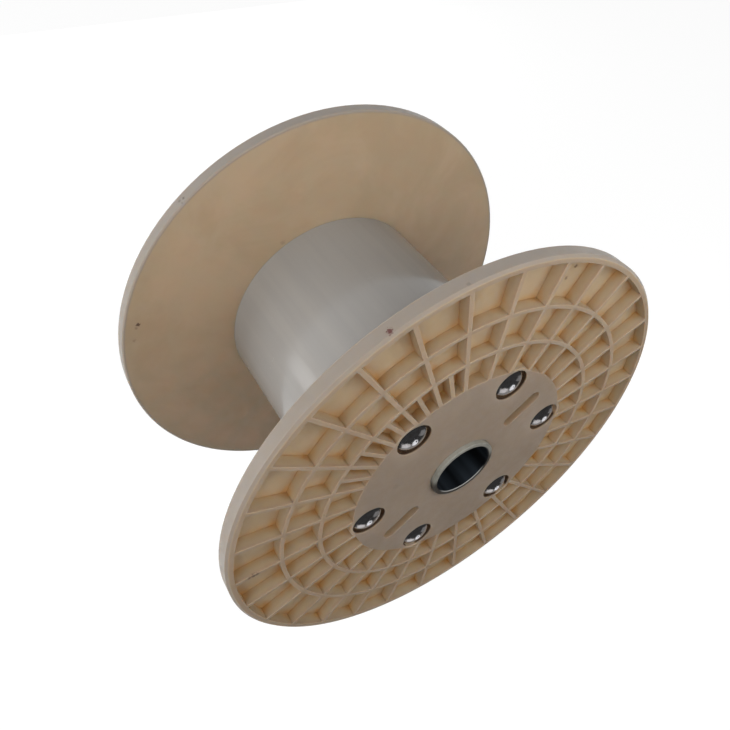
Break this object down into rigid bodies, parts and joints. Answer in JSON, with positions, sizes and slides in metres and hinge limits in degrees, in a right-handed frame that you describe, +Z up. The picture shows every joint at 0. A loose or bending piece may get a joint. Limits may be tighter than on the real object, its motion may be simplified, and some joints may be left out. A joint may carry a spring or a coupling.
{
  "type": "plastic spool",
  "caption": "Empty plastic cable reel: two ribbed moulded flanges clamped on a smooth barrel by tie bolts, with a steel arbor tube through its bore.",
  "frame": {"origin": "centre of the bore, halfway along the spool", "axes": "+X along the spool's axis towards the near flange, +Z up, with the spool lying on the rims of its flanges"},
  "size_m": [0.299, 0.5, 0.5],
  "materials": {
    "flange_plastic": "cream moulded plastic, fine satin",
    "barrel_plastic": "white extruded plastic pipe, slightly glossy",
    "arbor_steel": "galvanised steel pipe, dull",
    "bolt_chrome": "bright plated steel",
    "fastener_zinc": "zinc plated steel"
  },
  "bodies": {
    "root": {"flange_near": "flange_plastic", "flange_far": "flange_plastic", "barrel": "barrel_plastic", "arbor_tube": "arbor_steel", "tie_bolt_1": "bolt_chrome", "tie_bolt_2": "bolt_chrome", "tie_bolt_3": "bolt_chrome", "tie_bolt_4": "bolt_chrome", "tie_bolt_5": "bolt_chrome", "tie_bolt_6": "bolt_chrome", "washer_1": "fastener_zinc", "washer_2": "fastener_zinc", "washer_3": "fastener_zinc", "washer_4": "fastener_zinc", "washer_5": "fastener_zinc", "washer_6": "fastener_zinc", "nut_1": "fastener_zinc", "nut_2": "fastener_zinc", "nut_3": "fastener_zinc", "nut_4": "fastener_zinc", "nut_5": "fastener_zinc", "nut_6": "fastener_zinc"}
  },
  "joints": []
}
